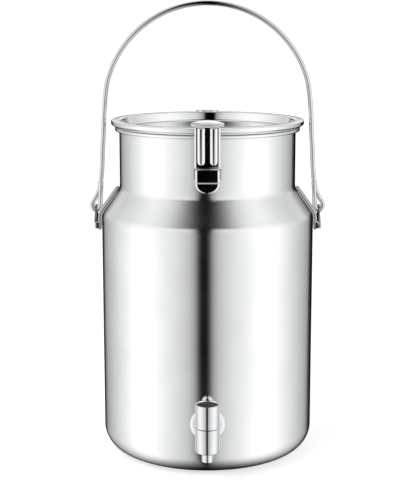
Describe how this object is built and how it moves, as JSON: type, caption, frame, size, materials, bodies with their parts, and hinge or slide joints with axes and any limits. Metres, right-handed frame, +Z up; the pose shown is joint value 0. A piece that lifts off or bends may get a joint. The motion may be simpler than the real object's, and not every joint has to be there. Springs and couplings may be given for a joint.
{
  "type": "milk can",
  "caption": "Shouldered stainless steel milk can with a wire bail, a dished lift-off lid held by two toggle latches, and a small turn-cap spigot near the base.",
  "frame": {"origin": "centre of the base, on the surface the can stands on", "axes": "+Z up the can's axis, -Y towards the spigot and the front latch, X through the two ears"},
  "size_m": [0.2454, 0.2696, 0.4682],
  "materials": {
    "can_brushed": "fine brushed stainless steel, satin",
    "lid_brushed": "satin stainless steel with a brighter pressed rim",
    "lid_polished": "mirror polished stainless steel",
    "bail_polished": "mirror polished stainless steel wire",
    "latch_polished": "bright pressed stainless steel sheet",
    "spigot_polished": "turned and polished stainless steel",
    "fittings_steel": "bright stainless steel with weld and rivet marks",
    "silicone": "translucent white silicone",
    "rubber": "matt black rubber"
  },
  "bodies": {
    "can": {"can_shell": "can_brushed", "ear_left": "fittings_steel", "ear_right": "fittings_steel", "front_latch_base": "fittings_steel", "front_latch_pivot_pin": "fittings_steel", "rear_latch_base": "fittings_steel", "rear_latch_pivot_pin": "fittings_steel", "spigot_body": "spigot_polished", "spigot_flange": "spigot_polished", "spigot_outer_gasket": "rubber", "spigot_inner_gasket": "rubber", "spigot_lock_nut": "fittings_steel"},
    "lid": {"lid_shell": "lid_brushed", "lid_gasket": "silicone", "lid_knob": "lid_polished", "lid_knob_washer": "fittings_steel", "lid_knob_screw": "fittings_steel"},
    "front_lever": {"front_latch_lever": "latch_polished", "front_latch_claw_pin": "fittings_steel"},
    "front_claw": {"front_latch_claw": "latch_polished"},
    "rear_lever": {"rear_latch_lever": "latch_polished", "rear_latch_claw_pin": "fittings_steel"},
    "rear_claw": {"rear_latch_claw": "latch_polished"},
    "bail": {"bail_handle": "bail_polished"},
    "spigot_valve": {"spigot_cap": "spigot_polished", "spigot_plug": "fittings_steel", "spigot_seal_ring": "rubber", "spigot_cap_screw": "fittings_steel", "spigot_cap_button": "rubber", "spigot_lever_rod": "spigot_polished", "spigot_lever_ball": "spigot_polished"}
  },
  "joints": [
    {"name": "lid_lift", "type": "slide", "parent": "can", "child": "lid", "axis": [0, 0, 1], "range_m": [0, 0.009]},
    {"name": "front_lever_hinge", "type": "hinge", "parent": "can", "child": "front_lever", "pos_m": [0, -0.098, 0.3012], "axis": [1, 0, 0], "range_deg": [-40, 0]},
    {"name": "front_claw_hinge", "type": "hinge", "parent": "front_lever", "child": "front_claw", "pos_m": [0, -0.105, 0.3073], "axis": [1, 0, 0], "range_deg": [0, 90]},
    {"name": "rear_lever_hinge", "type": "hinge", "parent": "can", "child": "rear_lever", "pos_m": [0, 0.098, 0.3012], "axis": [1, 0, 0], "range_deg": [0, 40]},
    {"name": "rear_claw_hinge", "type": "hinge", "parent": "rear_lever", "child": "rear_claw", "pos_m": [0, 0.105, 0.3073], "axis": [1, 0, 0], "range_deg": [-90, 0]},
    {"name": "bail_swing", "type": "hinge", "parent": "can", "child": "bail", "pos_m": [0, 0, 0.2534], "axis": [1, 0, 0], "range_deg": [-50, 50]},
    {"name": "spigot_turn", "type": "hinge", "parent": "can", "child": "spigot_valve", "pos_m": [0, -0.146, 0.065], "axis": [0, 0, 1], "range_deg": [0, 90]}
  ],
  "couplings": [
    {"joint": "front_lever_hinge", "follows": "lid_lift", "rad_per_m": -77.57},
    {"joint": "front_claw_hinge", "follows": "lid_lift", "rad_per_m": 174.53},
    {"joint": "rear_lever_hinge", "follows": "lid_lift", "rad_per_m": 77.57},
    {"joint": "rear_claw_hinge", "follows": "lid_lift", "rad_per_m": -174.53}
  ]
}
